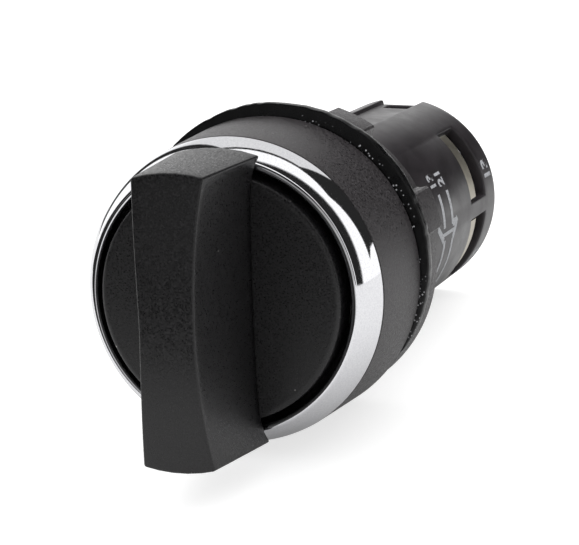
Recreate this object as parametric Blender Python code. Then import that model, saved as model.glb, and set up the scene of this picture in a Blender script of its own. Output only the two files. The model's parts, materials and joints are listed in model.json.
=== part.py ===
"""Panel selector switch with a black lever, for a round hole of about 22 mm in a control panel.

Lengths are in millimetres and MM turns them into metres. +X is to the right seen from the front,
+Y runs from the lever to the terminals along the switch's axis, and +Z is up. The origin is on the
axis, in the plane of the panel's front face. Angles on the axis are in degrees, clockwise from
12 o'clock seen from the front, which is also the way the lever turns.
"""

import math

import bmesh
import bpy
from mathutils import Matrix, Vector

MM = 0.001
GAP = 0.3
OVERLAP = 0.5
STEPS = 48
FINE_STEPS = 72
RING_STEPS = 36
SMALL_STEPS = 16
COIL_STEPS = 10
SMOOTH_BELOW = math.radians(35)

# Lever and disc of the knob
KNOB_FRONT_Y = -29.65
LEVER_CROWN = 1.82
LEVER_FRONT_HALF = 2.62
LEVER_LEFT_FLARE = 0.87
LEVER_LEFT_POWER = 1.5
LEVER_RIGHT_FLARE = 0.62
LEVER_RIGHT_POWER = 2.4
LEVER_BASE_HALF = 3.3
LEVER_BASE_FLARE = 0.25
LEVER_LEFT_CORNER = 0.3
LEVER_RIGHT_CORNER = 0.85
LEVER_CORNER_POWER = 10
LEVER_SCOOP = 0.45
LEVER_FRONT_REACH = 13.4
LEVER_BASE_REACH = 14.0
LEVER_BASE_Y = -16.25
LEVER_CUTS = 8
DISC_FRONT_Y = -16.8
DISC_REAR_Y = -13.4
DISC_R = 11.65
DISC_EDGE = 0.5
HUB_R = 5.0
HUB_END_Y = -2.5
CLIP_GROOVE_R = 4.2
CLIP_FRONT_Y = -4.65
CLIP_REAR_Y = -4.05
CLIP_R = 7.2
CLIP_OPENING_HALF = 32
TRAVEL_DEG = 90

# Bezel ring and collar
BEZEL_SEAT_Y = -12.5
BEZEL_R = 14.5
BEZEL_BORE_R = 12.4
BEZEL_DEPTH = 3.28
BEZEL_SLOPE = 0.25
BEZEL_CURVE = 0.06
BEZEL_FRONT_Y = -15.95
BEZEL_NOSE = 0.36
BEZEL_SKIRT_R = 13.4
BEZEL_SKIRT_Y = -8.4
BEZEL_POINTS = 5
COLLAR_REAR_R = 14.95
COLLAR_REAR_Y = -1.8

# Barrel with the fixing thread
THREAD_R = 11.0
THREAD_ROOT_R = 10.6
THREAD_PITCH = 1.5
THREAD_START_Y = 0.5
THREAD_RIDGES = 8
BARREL_END_Y = 13.7
BARREL_BORE_R = 9.3
WEB_FRONT_Y = -9.8
WEB_REAR_Y = -5.0
HUB_CLEARANCE = 0.15
SEAL_POCKET_R = 7.15
SEAL_POCKET_Y = -8.05
SEAL_R = 6.2
SEAL_SECTION_R = 0.65
SEAL_SIDES = 8
SEAL_STEPS = 24
DETENT_LAND_R = 8.9
DETENT_NOTCH = 0.35
DETENT_NOTCH_HALF = 9
DETENT_LAND_FRONT_Y = -1.2
DETENT_LAND_REAR_Y = 2.4
DETENT_LAND_SLOPE = 0.4
DETENT_ANGLES = (60, 240)
KEYWAY_CENTRE = 1.75
KEYWAY_HALF = 12.25
KEYWAY_FLOOR_R = 10.25

# Gasket, washer and fixing nut
GASKET_R = 15.2
GASKET_WAVE = 0.06
GASKET_BORE_R = 12.45
GASKET_SHIFT = 1.1
GASKET_SHIFT_ANGLE = 28
NUT_FRONT_Y = GAP
NUT_REAR_Y = 5.3
NUT_R = 14.65
NUT_LOBE = 1.1
NUT_LOBE_ANGLES = (26, 70, 206, 250)
NUT_LOBE_HALF = 10.5
NUT_BORE_R = 11.25
NUT_CHAMFER = 0.4
WASHER_R = 13.75
WASHER_BORE_R = 11.5
WASHER_THICKNESS = 0.75

# Cam, drive shaft and detent
SHAFT_HALF = 2.3
SHAFT_FRONT_Y = -10.6
SHAFT_REAR_Y = 2.2
CAM_FRONT_Y = -1.2
CAM_R = 7.4
CAM_INNER_R = 3.9
CAM_CORE_Y = 2.5
CAM_LOW_Y = 2.8
PLUNGER_TRAVEL = 3.0
CAM_FALL_DEG = 6
DETENT_Y = 0.8
DETENT_HOLE_R = 1.15
DETENT_HOLE_START = 4.3
BALL_R = 1.0
BALL_CENTRE_R = 7.7
DETENT_COIL_R = 0.7
DETENT_TURNS = 2.5

# Contact housing
BODY_R = 11.0
BODY_FRONT_Y = 14.0
BODY_REAR_Y = 43.8
BODY_BORE_R = 9.7
BODY_THICK_BORE_R = 8.5
BODY_THICK_HALF = 15
BODY_CHAMFER = 0.25
SPIGOT_R = 9.0
SPIGOT_BORE_R = 8.1
SPIGOT_FRONT_Y = 9.0
SPIGOT_END_Y = 14.8
WINDOW_FRONT_Y = 33.3
WINDOW_REAR_Y = 39.5
WINDOW_HALF = 22.5
LATCH_FRONT_Y = 40.6
LATCH_REAR_Y = 42.8
LATCH_HALF = 8
RAIL_INNER_X = 6.3
RAIL_REAR_Y = 22.3
RAIL_INNER_Z = 1.4
RAIL_OUTER_Z = 2.2

# Rear cover
COVER_FRONT_Y = 42.2
COVER_REAR_Y = 43.4
COVER_R = 9.4
COVER_NOTCH_R = 8.2
COVER_NOTCH_HALF = 19
ACCESS_HOLE_R = 2.6
COVER_PIN_R = 1.4
COVER_PIN_Y = 39.6

# Terminals, numbered as they are on the contact diagram
TERMINALS = {"13": 63.5, "14": 118.5, "22": 241.5, "21": 296.5}
NORMALLY_OPEN = ("13", "14")
SCREW_CIRCLE_R = 7.0
BLOCK_FRONT_Y = 33.6
BLOCK_REAR_Y = 36.4
BLOCK_INNER_R = 4.6
BLOCK_OUTER_R = 10.7
BLOCK_HALF = 21
TAPPED_HOLE_R = 1.65
STRIP_INNER_R = 8.7
STRIP_OUTER_R = 9.4
STRIP_HALF = 12
LEG_FRONT_Y = 23.5
LEG_REAR_Y = 24.3
LEG_TIP_R = 5.2
LEG_HALF = 1.0
PLATE_FRONT_Y = 39.6
PLATE_REAR_Y = 40.4
PLATE_INNER_R = 4.7
PLATE_HALF = 17
PLATE_HOLE_R = 1.75
SCREW_SHANK_R = 1.45
SCREW_TIP_Y = 32.0
SCREW_HEAD_R = 2.3
SCREW_HEAD_Y = 40.7
SCREW_TOP_Y = 42.3
SCREW_CROSS_HALF = 1.6
SCREW_CROSS_WIDTH = 0.35
SCREW_CROSS_DEPTH = 0.9
SCREW_CHAMFER = 0.4

# Plunger, bridges, contact rivets and springs
FOLLOWER_TIP_Y = CAM_LOW_Y + GAP
FOLLOWER_SHOULDER_Y = 4.0
FOLLOWER_HALF = 0.75
FOLLOWER_TIP_HALF = 0.15
FOLLOWER_INNER_R = 4.2
FLANGE_FRONT_Y = 7.0
FLANGE_REAR_Y = 8.5
FLANGE_R = 7.4
WEB_HALF_X = 7.2
WEB_HALF_Z = 1.1
PLUNGER_END_Y = 30.0
SLOT_INNER_X = 3.6
SLOT_OUTER_X = 6.4
RIVET_R = 0.9
RIVET_HEIGHT = 0.4
RIVET_CIRCLE_R = 5.7
CONTACT_GAP = 0.1
BRIDGE_THICKNESS = 0.8
BRIDGE_X = 5.0
BRIDGE_HALF_X = 1.05
BRIDGE_HALF_Z = 3.9
OPEN_SPRING_FRONT_Y = 15.0
CLOSED_SPRING_REAR_Y = 29.0
CONTACT_COIL_R = 0.75
CONTACT_WIRE_R = 0.16
CONTACT_TURNS = 3.5
RETURN_COIL_R = 2.2
RETURN_WIRE_R = 0.28
RETURN_TURNS = 6


def clear_scene():
    for item in list(bpy.data.objects):
        bpy.data.objects.remove(item)


def finish(name, colour, roughness, metallic=0.0):
    """A Principled material."""
    made = bpy.data.materials.new(name)
    made.use_nodes = True
    shader = made.node_tree.nodes["Principled BSDF"]
    shader.inputs["Base Color"].default_value = (*colour, 1.0)
    shader.inputs["Roughness"].default_value = roughness
    shader.inputs["Metallic"].default_value = metallic
    return made


def polar(radius, angle, y):
    """A point in metres from its distance to the axis, its clockwise angle and its place along it."""
    turn = math.radians(angle)
    return Vector((radius * math.sin(turn), y, radius * math.cos(turn))) * MM


def away(angle, centre):
    """How many degrees lie between two directions."""
    return abs((angle - centre + 180) % 360 - 180)


def place(name, mesh, look):
    """Turns a finished bmesh into an object, closed and facing out, with soft round faces."""
    bmesh.ops.recalc_face_normals(mesh, faces=mesh.faces)
    data = bpy.data.meshes.new(name)
    mesh.to_mesh(data)
    mesh.free()
    data.shade_smooth()
    data.set_sharp_from_angle(angle=SMOOTH_BELOW)
    if look:
        data.materials.append(look)
    made = bpy.data.objects.new(name, data)
    bpy.context.scene.collection.objects.link(made)
    return made


def turned(name, section, look, steps=STEPS):
    """A body turned about the axis. section gives the (radius, y) corners at an angle, in order."""
    mesh = bmesh.new()
    rings = []
    for step in range(steps):
        angle = 360 * step / steps
        corners = section(angle) if callable(section) else section
        rings.append([mesh.verts.new(polar(radius, angle, y)) for radius, y in corners])
    for here, there in zip(rings, rings[1:] + rings[:1]):
        for corner in range(len(here)):
            if here[corner].co.xz.length or here[corner - 1].co.xz.length:
                mesh.faces.new((here[corner], here[corner - 1], there[corner - 1], there[corner]))
    bmesh.ops.remove_doubles(mesh, verts=mesh.verts, dist=1e-7)
    return place(name, mesh, look)


def sector(name, radii, span, centre, half, look=None, steps=8):
    """An arched block between two radii, two places along the axis and two angles."""
    mesh = bmesh.new()
    angles = [centre + half * (2 * step / steps - 1) for step in range(steps + 1)]
    corners = [(radius, span[0]) for radius in radii] + [(radius, span[1]) for radius in reversed(radii)]
    rings = [[mesh.verts.new(polar(radius, angle, y)) for radius, y in corners] for angle in angles]
    for here, there in zip(rings, rings[1:]):
        for corner in range(4):
            mesh.faces.new((here[corner], here[corner - 1], there[corner - 1], there[corner]))
    mesh.faces.new(rings[0])
    mesh.faces.new(rings[-1])
    return place(name, mesh, look)


def block(name, xs, ys, zs, look=None):
    """A box from its three pairs of limits."""
    mesh = bmesh.new()
    bmesh.ops.create_cube(mesh, size=1)
    low, high = (Vector(limits) * MM for limits in zip(xs, ys, zs))
    for vert in mesh.verts:
        vert.co = Vector(low[i] + (high[i] - low[i]) * (vert.co[i] + 0.5) for i in range(3))
    return place(name, mesh, look)


def rod(name, centre_x, centre_z, corners, look=None):
    """A small turned body on its own axis parallel to the switch's, with its origin on that axis."""
    made = turned(name, corners, look, SMALL_STEPS)
    made.location = Vector((centre_x, 0, centre_z)) * MM
    return made


def plain_rod(radius, front, rear):
    return [(0, front), (radius, front), (radius, rear), (0, rear)]


def shape_by(target, tool, operation):
    """Adds a tool to a body, or cuts it away, and keeps the tool out of the model."""
    step = target.modifiers.new(tool.name, "BOOLEAN")
    step.operation = operation
    step.object = tool
    tool.hide_render = True
    tool.display_type = "WIRE"


def cut(target, tool):
    shape_by(target, tool, "DIFFERENCE")


def join(target, tool):
    shape_by(target, tool, "UNION")


def coil(name, start, end, coil_r, wire_r, turns, look):
    """A compression spring from one point to another, as a wire curve."""
    start, end = Vector(start), Vector(end)
    along = (end - start).normalized()
    side = along.orthogonal().normalized()
    other = along.cross(side)
    count = int(turns * COIL_STEPS)
    curve = bpy.data.curves.new(name, "CURVE")
    curve.dimensions = "3D"
    curve.bevel_depth = wire_r * MM
    curve.bevel_resolution = 1
    curve.use_fill_caps = True
    wire = curve.splines.new("POLY")
    wire.points.add(count)
    for step in range(count + 1):
        share = step / count
        turn = 2 * math.pi * turns * share
        spoke = side * math.cos(turn) + other * math.sin(turn)
        spot = (start.lerp(end, share) + spoke * coil_r) * MM
        wire.points[step].co = (*spot, 1)
    curve.materials.append(look)
    made = bpy.data.objects.new(name, curve)
    bpy.context.scene.collection.objects.link(made)
    return made


def lever_point(across, depth, along):
    """A point of the lever. across and along run from -1 to 1, and depth from 0 in front to 1."""
    share = abs(along)
    flare, corner = LEVER_RIGHT_FLARE * share**LEVER_RIGHT_POWER, LEVER_RIGHT_CORNER
    if across < 0:
        flare, corner = LEVER_LEFT_FLARE * share**LEVER_LEFT_POWER, LEVER_LEFT_CORNER
    front_half = LEVER_FRONT_HALF + flare
    base_half = LEVER_BASE_HALF + LEVER_BASE_FLARE * share**2 + corner * share**LEVER_CORNER_POWER
    scoop = LEVER_SCOOP * (1 - share**2) * 4 * depth * (1 - depth)
    x = across * (front_half + (base_half - front_half) * depth - scoop)
    front_y = KNOB_FRONT_Y + LEVER_CROWN * share**2
    y = front_y + (LEVER_BASE_Y - front_y) * depth
    reach = LEVER_FRONT_REACH + (LEVER_BASE_REACH - LEVER_FRONT_REACH) * depth
    z = along * math.sqrt(reach**2 - x**2)
    return Vector((x, y, z)) * MM


def make_knob(look):
    """Disc with a raised waisted lever, a round hub behind, a clip groove and a square socket."""
    knob = turned(
        "knob",
        [
            (0, DISC_FRONT_Y),
            (DISC_R - DISC_EDGE, DISC_FRONT_Y),
            (DISC_R - DISC_EDGE / 3, DISC_FRONT_Y + DISC_EDGE / 3),
            (DISC_R, DISC_FRONT_Y + DISC_EDGE),
            (DISC_R, DISC_REAR_Y),
            (HUB_R, DISC_REAR_Y),
            (HUB_R, CLIP_FRONT_Y - GAP / 2),
            (CLIP_GROOVE_R, CLIP_FRONT_Y - GAP / 2),
            (CLIP_GROOVE_R, CLIP_REAR_Y + GAP / 2),
            (HUB_R, CLIP_REAR_Y + GAP / 2),
            (HUB_R, HUB_END_Y),
            (0, HUB_END_Y),
        ],
        look,
    )
    mesh = bmesh.new()
    bmesh.ops.create_cube(mesh, size=2)
    bmesh.ops.subdivide_edges(mesh, edges=mesh.edges, cuts=LEVER_CUTS, use_grid_fill=True)
    for vert in mesh.verts:
        across, depth, along = vert.co
        vert.co = lever_point(across, (depth + 1) / 2, along)
    join(knob, place("lever_form", mesh, None))
    half = SHAFT_HALF + GAP
    cut(knob, block("socket_form", (-half, half), (SHAFT_FRONT_Y - GAP, HUB_END_Y + 1), (-half, half)))


def make_drive_shaft(look):
    """Square bar that carries the knob's turn to the cam."""
    half = (-SHAFT_HALF, SHAFT_HALF)
    block("drive_shaft", half, (SHAFT_FRONT_Y, SHAFT_REAR_Y), half, look)


def make_retaining_clip(look):
    """Open steel ring in the hub's groove, behind the web that the hub turns in."""
    bore = CLIP_GROOVE_R + GAP / 2
    opening = CLIP_OPENING_HALF
    span = (CLIP_FRONT_Y, CLIP_REAR_Y)
    sector("retaining_clip", (bore, CLIP_R), span, 180, 180 - opening, look, RING_STEPS)


def make_bezel_ring(look):
    """Bright ring round the knob: a cone that curves in to a round nose, and a rear skirt."""
    seat = BEZEL_SEAT_Y - GAP / 2
    slope = []
    for step in range(BEZEL_POINTS + 1):
        depth = BEZEL_DEPTH * step / BEZEL_POINTS
        radius = BEZEL_R - BEZEL_SLOPE * depth - BEZEL_CURVE * depth**2
        slope.append((radius, min(BEZEL_SEAT_Y - depth, seat)))
    nose = []
    for degrees in (-45, 0, 45, 90):
        turn = math.radians(degrees)
        radius = BEZEL_BORE_R + BEZEL_NOSE * (1 - math.sin(turn))
        nose.append((radius, BEZEL_FRONT_Y + BEZEL_NOSE * (1 - math.cos(turn))))
    skirt = [(BEZEL_BORE_R, BEZEL_SKIRT_Y), (BEZEL_SKIRT_R, BEZEL_SKIRT_Y), (BEZEL_SKIRT_R, seat)]
    turned("bezel_ring", slope + nose + skirt, look)


def detent_land(angle):
    """Radius of the land that the detent balls run along, deeper at each rest position."""
    stops = [start + turn for start in DETENT_ANGLES for turn in (0, TRAVEL_DEG)]
    nearest = min(away(angle, stop) for stop in stops)
    return DETENT_LAND_R + DETENT_NOTCH * max(0, 1 - nearest / DETENT_NOTCH_HALF)


def make_front_housing(look):
    """Collar and threaded barrel in one moulding, with the web that carries the knob's hub."""
    ridges = []
    for ridge in range(THREAD_RIDGES):
        start = THREAD_START_Y + ridge * THREAD_PITCH
        ridges += [(THREAD_ROOT_R, start), (THREAD_R, start + THREAD_PITCH / 2)]
    channel_r = BEZEL_BORE_R - GAP
    recess_r = BEZEL_SKIRT_R + GAP
    front = BEZEL_SEAT_Y + GAP / 2

    def section(angle):
        land = detent_land(angle)
        return [
            (recess_r, front),
            (BEZEL_R, front),
            (COLLAR_REAR_R, COLLAR_REAR_Y),
            (THREAD_ROOT_R, COLLAR_REAR_Y),
            *ridges,
            (THREAD_ROOT_R, THREAD_START_Y + THREAD_RIDGES * THREAD_PITCH),
            (THREAD_ROOT_R, BARREL_END_Y),
            (BARREL_BORE_R, BARREL_END_Y),
            (BARREL_BORE_R, DETENT_LAND_REAR_Y + DETENT_LAND_SLOPE),
            (land, DETENT_LAND_REAR_Y),
            (land, DETENT_LAND_FRONT_Y),
            (BARREL_BORE_R, DETENT_LAND_FRONT_Y - DETENT_LAND_SLOPE),
            (BARREL_BORE_R, WEB_REAR_Y),
            (HUB_R + HUB_CLEARANCE, WEB_REAR_Y),
            (HUB_R + HUB_CLEARANCE, SEAL_POCKET_Y),
            (SEAL_POCKET_R, SEAL_POCKET_Y),
            (SEAL_POCKET_R, WEB_FRONT_Y),
            (channel_r, WEB_FRONT_Y),
            (channel_r, BEZEL_SKIRT_Y + GAP),
            (recess_r, BEZEL_SKIRT_Y + GAP),
        ]

    housing = turned("front_housing", section, look)
    span = (COLLAR_REAR_Y + GAP, BARREL_END_Y + 1)
    cut(housing, keyway_form("barrel_keyway_form", span))


def keyway_form(name, span):
    """Cutter for the flat-bottomed locating groove along the top."""
    half = BODY_R * math.sin(math.radians(KEYWAY_HALF))
    cutter = block(name, (-half, half), span, (KEYWAY_FLOOR_R, BODY_R + 1))
    cutter.data.transform(Matrix.Rotation(math.radians(KEYWAY_CENTRE), 4, "Y"))
    return cutter


def make_shaft_seal(look):
    """Rubber ring between the hub and the web."""
    middle = (SEAL_POCKET_Y + WEB_FRONT_Y) / 2
    corners = []
    for step in range(SEAL_SIDES):
        turn = -2 * math.pi * step / SEAL_SIDES
        corners.append((SEAL_R + SEAL_SECTION_R * math.cos(turn), middle + SEAL_SECTION_R * math.sin(turn)))
    turned("shaft_seal", corners, look, SEAL_STEPS)


def make_panel_gasket(look):
    """Soft loose ring between the collar and the panel, off centre, with a slightly uneven edge."""

    def section(angle):
        turn = math.radians(angle)
        edge = GASKET_R + GASKET_WAVE * (math.sin(5 * turn) + 0.6 * math.sin(13 * turn + 1))
        return [
            (GASKET_BORE_R, COLLAR_REAR_Y + GAP),
            (edge, COLLAR_REAR_Y + GAP),
            (edge, 0),
            (GASKET_BORE_R, 0),
        ]

    gasket = turned("panel_gasket", section, look, FINE_STEPS)
    shift = polar(GASKET_SHIFT, GASKET_SHIFT_ANGLE, 0)
    for vert in gasket.data.vertices:
        vert.co += shift


def nut_edge(angle):
    """Outer radius of the nut: round, with two pairs of raised grips on opposite sides."""
    offset = min(away(angle, lobe) for lobe in NUT_LOBE_ANGLES)
    rise = min(1, max(0, (NUT_LOBE_HALF - offset) / (NUT_LOBE_HALF / 2)))
    return NUT_R + NUT_LOBE * math.sin(rise * math.pi / 2)


def make_fixing_nut(look):
    """Ring nut with grips and a front pocket for its washer."""
    pocket_r = WASHER_R + GAP
    pocket_y = NUT_FRONT_Y + WASHER_THICKNESS + GAP

    def section(angle):
        edge = nut_edge(angle)
        return [
            (pocket_r, NUT_FRONT_Y),
            (edge - NUT_CHAMFER / 2, NUT_FRONT_Y),
            (edge, NUT_FRONT_Y + NUT_CHAMFER / 2),
            (edge, NUT_REAR_Y - NUT_CHAMFER),
            (edge - NUT_CHAMFER, NUT_REAR_Y),
            (NUT_BORE_R, NUT_REAR_Y),
            (NUT_BORE_R, pocket_y),
            (pocket_r, pocket_y),
        ]

    turned("fixing_nut", section, look, FINE_STEPS)


def make_nut_washer(look):
    """Flat washer held in the nut's pocket, which stays still against the panel while the nut turns."""
    rear = NUT_FRONT_Y + WASHER_THICKNESS
    corners = [(WASHER_BORE_R, NUT_FRONT_Y), (WASHER_R, NUT_FRONT_Y), (WASHER_R, rear), (WASHER_BORE_R, rear)]
    turned("nut_washer", corners, look, RING_STEPS)


def cam_height(angle):
    """Place of the cam's rear face. Two ramps climb by the plunger's travel over the lever's turn."""
    back = -angle % 180
    if back <= TRAVEL_DEG:
        return CAM_LOW_Y + PLUNGER_TRAVEL * back / TRAVEL_DEG
    fall = min(1, (back - TRAVEL_DEG) / CAM_FALL_DEG)
    return CAM_LOW_Y + PLUNGER_TRAVEL * (1 - fall)


def make_cam(look):
    """Face cam on the drive shaft, with two radial holes for the detent balls and springs."""

    def section(angle):
        high = cam_height(angle)
        return [
            (0, CAM_FRONT_Y),
            (CAM_R, CAM_FRONT_Y),
            (CAM_R, high),
            (CAM_INNER_R, high),
            (CAM_INNER_R, CAM_CORE_Y),
            (0, CAM_CORE_Y),
        ]

    cam = turned("cam", section, look)
    half = (-SHAFT_HALF - GAP, SHAFT_HALF + GAP)
    cut(cam, block("cam_hole_form", half, (CAM_FRONT_Y - 1, CAM_CORE_Y + 1), half))
    for number, angle in enumerate(DETENT_ANGLES, 1):
        hole = plain_rod(DETENT_HOLE_R, DETENT_HOLE_START, CAM_R + 1)
        form = turned(f"detent_hole_form_{number}", hole, None, SMALL_STEPS)
        form.rotation_euler = radial_turn(angle)
        form.location = (0, DETENT_Y * MM, 0)
        cut(cam, form)


def radial_turn(angle):
    """Rotation that lays a body made along +Y out along a radius."""
    return polar(1, angle, 0).to_track_quat("Y", "Z").to_euler()


def make_detent(look_ball, look_spring):
    """Sprung balls that hold the knob at each position."""
    for number, angle in enumerate(DETENT_ANGLES, 1):
        mesh = bmesh.new()
        bmesh.ops.create_icosphere(mesh, subdivisions=2, radius=BALL_R * MM)
        ball = place(f"detent_ball_{number}", mesh, look_ball)
        ball.location = polar(BALL_CENTRE_R, angle, DETENT_Y)
        start = polar(DETENT_HOLE_START + 2 * GAP, angle, DETENT_Y) / MM
        end = polar(BALL_CENTRE_R - BALL_R - 2 * GAP, angle, DETENT_Y) / MM
        coil(f"detent_spring_{number}", start, end, DETENT_COIL_R, CONTACT_WIRE_R, DETENT_TURNS, look_spring)


def make_contact_housing(look):
    """Rear cylinder: four wire windows, a locating groove, plunger rails and a latch slot."""

    def section(angle):
        thick = away(angle, KEYWAY_CENTRE) < BODY_THICK_HALF
        bore = BODY_THICK_BORE_R if thick else BODY_BORE_R
        return [
            (SPIGOT_BORE_R, SPIGOT_FRONT_Y),
            (SPIGOT_R, SPIGOT_FRONT_Y),
            (SPIGOT_R, BODY_FRONT_Y),
            (BODY_R - BODY_CHAMFER, BODY_FRONT_Y),
            (BODY_R, BODY_FRONT_Y + BODY_CHAMFER),
            (BODY_R, BODY_REAR_Y - BODY_CHAMFER),
            (BODY_R - BODY_CHAMFER, BODY_REAR_Y),
            (bore, BODY_REAR_Y),
            (bore, SPIGOT_END_Y),
            (SPIGOT_BORE_R, SPIGOT_END_Y),
        ]

    housing = turned("contact_housing", section, look)
    for name, angle in TERMINALS.items():
        span = (WINDOW_FRONT_Y, WINDOW_REAR_Y)
        cut(housing, sector(f"window_form_{name}", (8.9, BODY_R + 1), span, angle, WINDOW_HALF))
    span = (LATCH_FRONT_Y, LATCH_REAR_Y)
    cut(housing, sector("latch_form", (BODY_THICK_BORE_R - 1, BODY_R + 1), span, KEYWAY_CENTRE, LATCH_HALF))
    cut(housing, keyway_form("body_keyway_form", (BODY_FRONT_Y - 1, BODY_REAR_Y + 1)))
    for side in (-1, 1):
        for level in (-1, 1):
            xs = sorted((side * RAIL_INNER_X, side * (BODY_BORE_R + 0.2)))
            zs = sorted((level * RAIL_INNER_Z, level * RAIL_OUTER_Z))
            ys = (SPIGOT_END_Y - OVERLAP, RAIL_REAR_Y)
            join(housing, block(f"rail_form_{side}_{level}", xs, ys, zs))


def make_rear_cover(look):
    """Disc that closes the rear, with a hole behind each screw, a spring pin and a latch lug."""

    def section(angle):
        notched = away(angle, KEYWAY_CENTRE) < COVER_NOTCH_HALF
        edge = COVER_NOTCH_R if notched else COVER_R
        return [
            (0, COVER_PIN_Y),
            (COVER_PIN_R, COVER_PIN_Y),
            (COVER_PIN_R, COVER_FRONT_Y),
            (edge, COVER_FRONT_Y),
            (edge, COVER_REAR_Y),
            (0, COVER_REAR_Y),
        ]

    cover = turned("rear_cover", section, look)
    hole = plain_rod(ACCESS_HOLE_R, COVER_FRONT_Y - 1, COVER_REAR_Y + 1)
    for name, angle in TERMINALS.items():
        x, _, z = polar(SCREW_CIRCLE_R, angle, 0) / MM
        cut(cover, rod(f"access_form_{name}", x, z, hole))
    span = (LATCH_FRONT_Y + GAP, LATCH_REAR_Y - GAP)
    lug, arm = (COVER_NOTCH_R - 1, KEYWAY_FLOOR_R - GAP), (COVER_NOTCH_R - 1, COVER_NOTCH_R)
    join(cover, sector("lug_form", lug, span, KEYWAY_CENTRE, LATCH_HALF - 2))
    join(cover, sector("lug_arm_form", arm, span, KEYWAY_CENTRE, LATCH_HALF))


def make_terminal(name, angle, look):
    """Brass terminal: the block behind the window, a strip along the wall and the leg of the contact."""
    span = (BLOCK_FRONT_Y, BLOCK_REAR_Y)
    terminal = sector(f"terminal_{name}", (BLOCK_INNER_R, BLOCK_OUTER_R), span, angle, BLOCK_HALF, look)
    span = (LEG_FRONT_Y, BLOCK_FRONT_Y + OVERLAP)
    radii = (STRIP_INNER_R, STRIP_OUTER_R)
    join(terminal, sector(f"strip_form_{name}", radii, span, angle, STRIP_HALF, steps=4))
    leg = block(
        f"leg_form_{name}",
        (-LEG_HALF, LEG_HALF),
        (LEG_FRONT_Y, LEG_REAR_Y),
        (LEG_TIP_R, STRIP_INNER_R + OVERLAP),
    )
    leg.rotation_euler.y = math.radians(angle)
    join(terminal, leg)
    x, _, z = polar(SCREW_CIRCLE_R, angle, 0) / MM
    hole = plain_rod(TAPPED_HOLE_R, BLOCK_FRONT_Y - 1, BLOCK_REAR_Y + 1)
    cut(terminal, rod(f"tapped_form_{name}", x, z, hole))


def make_clamp_plate(name, angle, look):
    """Square washer that the screw presses on the wire."""
    span = (PLATE_FRONT_Y, PLATE_REAR_Y)
    plate = sector(f"clamp_plate_{name}", (PLATE_INNER_R, STRIP_OUTER_R), span, angle, PLATE_HALF, look, 4)
    x, _, z = polar(SCREW_CIRCLE_R, angle, 0) / MM
    hole = plain_rod(PLATE_HOLE_R, PLATE_FRONT_Y - 1, PLATE_REAR_Y + 1)
    cut(plate, rod(f"plate_hole_form_{name}", x, z, hole))


def make_terminal_screw(name, angle, look):
    """Pan-head screw with a cross recess, backed out as delivered."""
    x, _, z = polar(SCREW_CIRCLE_R, angle, 0) / MM
    screw = rod(
        f"terminal_screw_{name}",
        x,
        z,
        [
            (0, SCREW_TIP_Y),
            (SCREW_SHANK_R - SCREW_CHAMFER, SCREW_TIP_Y),
            (SCREW_SHANK_R, SCREW_TIP_Y + SCREW_CHAMFER),
            (SCREW_SHANK_R, SCREW_HEAD_Y),
            (SCREW_HEAD_R, SCREW_HEAD_Y),
            (SCREW_HEAD_R, SCREW_TOP_Y - SCREW_CHAMFER),
            (SCREW_HEAD_R - SCREW_CHAMFER, SCREW_TOP_Y),
            (0, SCREW_TOP_Y),
        ],
        look,
    )
    ys = (SCREW_TOP_Y - SCREW_CROSS_DEPTH, SCREW_TOP_Y + 1)
    long, short = SCREW_CROSS_HALF, SCREW_CROSS_WIDTH
    for half_x, half_z in ((long, short), (short, long)):
        xs, zs = (x - half_x, x + half_x), (z - half_z, z + half_z)
        cut(screw, block(f"cross_form_{name}_{half_x}", xs, ys, zs))


def follower_form(side):
    """Wedge that rides on the cam's ramp, with its narrow tip towards the cam."""
    rear = FLANGE_FRONT_Y + OVERLAP
    outline = [
        (-FOLLOWER_TIP_HALF, FOLLOWER_TIP_Y),
        (FOLLOWER_TIP_HALF, FOLLOWER_TIP_Y),
        (FOLLOWER_HALF, FOLLOWER_SHOULDER_Y),
        (FOLLOWER_HALF, rear),
        (-FOLLOWER_HALF, rear),
        (-FOLLOWER_HALF, FOLLOWER_SHOULDER_Y),
    ]
    mesh = bmesh.new()
    low, high = side * FOLLOWER_INNER_R, side * (CAM_R - GAP)
    face = mesh.faces.new([mesh.verts.new(Vector((x, y, low)) * MM) for x, y in outline])
    grown = bmesh.ops.extrude_face_region(mesh, geom=[face])["geom"]
    ends = [item for item in grown if isinstance(item, bmesh.types.BMVert)]
    bmesh.ops.translate(mesh, verts=ends, vec=(0, 0, (high - low) * MM))
    return place(f"follower_form_{side}", mesh, None)


def make_plunger(look):
    """Sliding carrier: two followers on the cam, a flange, and a web with a slot for each bridge."""
    plunger = turned("plunger", plain_rod(FLANGE_R, FLANGE_FRONT_Y, FLANGE_REAR_Y), look, RING_STEPS)
    for side in (-1, 1):
        join(plunger, follower_form(side))
    xs, zs = (-WEB_HALF_X, WEB_HALF_X), (-WEB_HALF_Z, WEB_HALF_Z)
    join(plunger, block("web_form", xs, (FLANGE_REAR_Y - OVERLAP, PLUNGER_END_Y), zs))
    zs = (-WEB_HALF_Z - 1, WEB_HALF_Z + 1)
    open_bar, closed_bar = bridge_span(True), bridge_span(False)
    ys = (OPEN_SPRING_FRONT_Y - GAP, open_bar[1] + GAP)
    cut(plunger, block("open_slot_form", (SLOT_INNER_X, SLOT_OUTER_X), ys, zs))
    ys = (closed_bar[0] - GAP, CLOSED_SPRING_REAR_Y + GAP)
    cut(plunger, block("closed_slot_form", (-SLOT_OUTER_X, -SLOT_INNER_X), ys, zs))


def fixed_rivet_span(is_open):
    """The normally open rivets face the front, and the normally closed ones face the rear."""
    if is_open:
        return LEG_FRONT_Y - GAP - RIVET_HEIGHT, LEG_FRONT_Y - GAP
    return LEG_REAR_Y + GAP, LEG_REAR_Y + GAP + RIVET_HEIGHT


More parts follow.
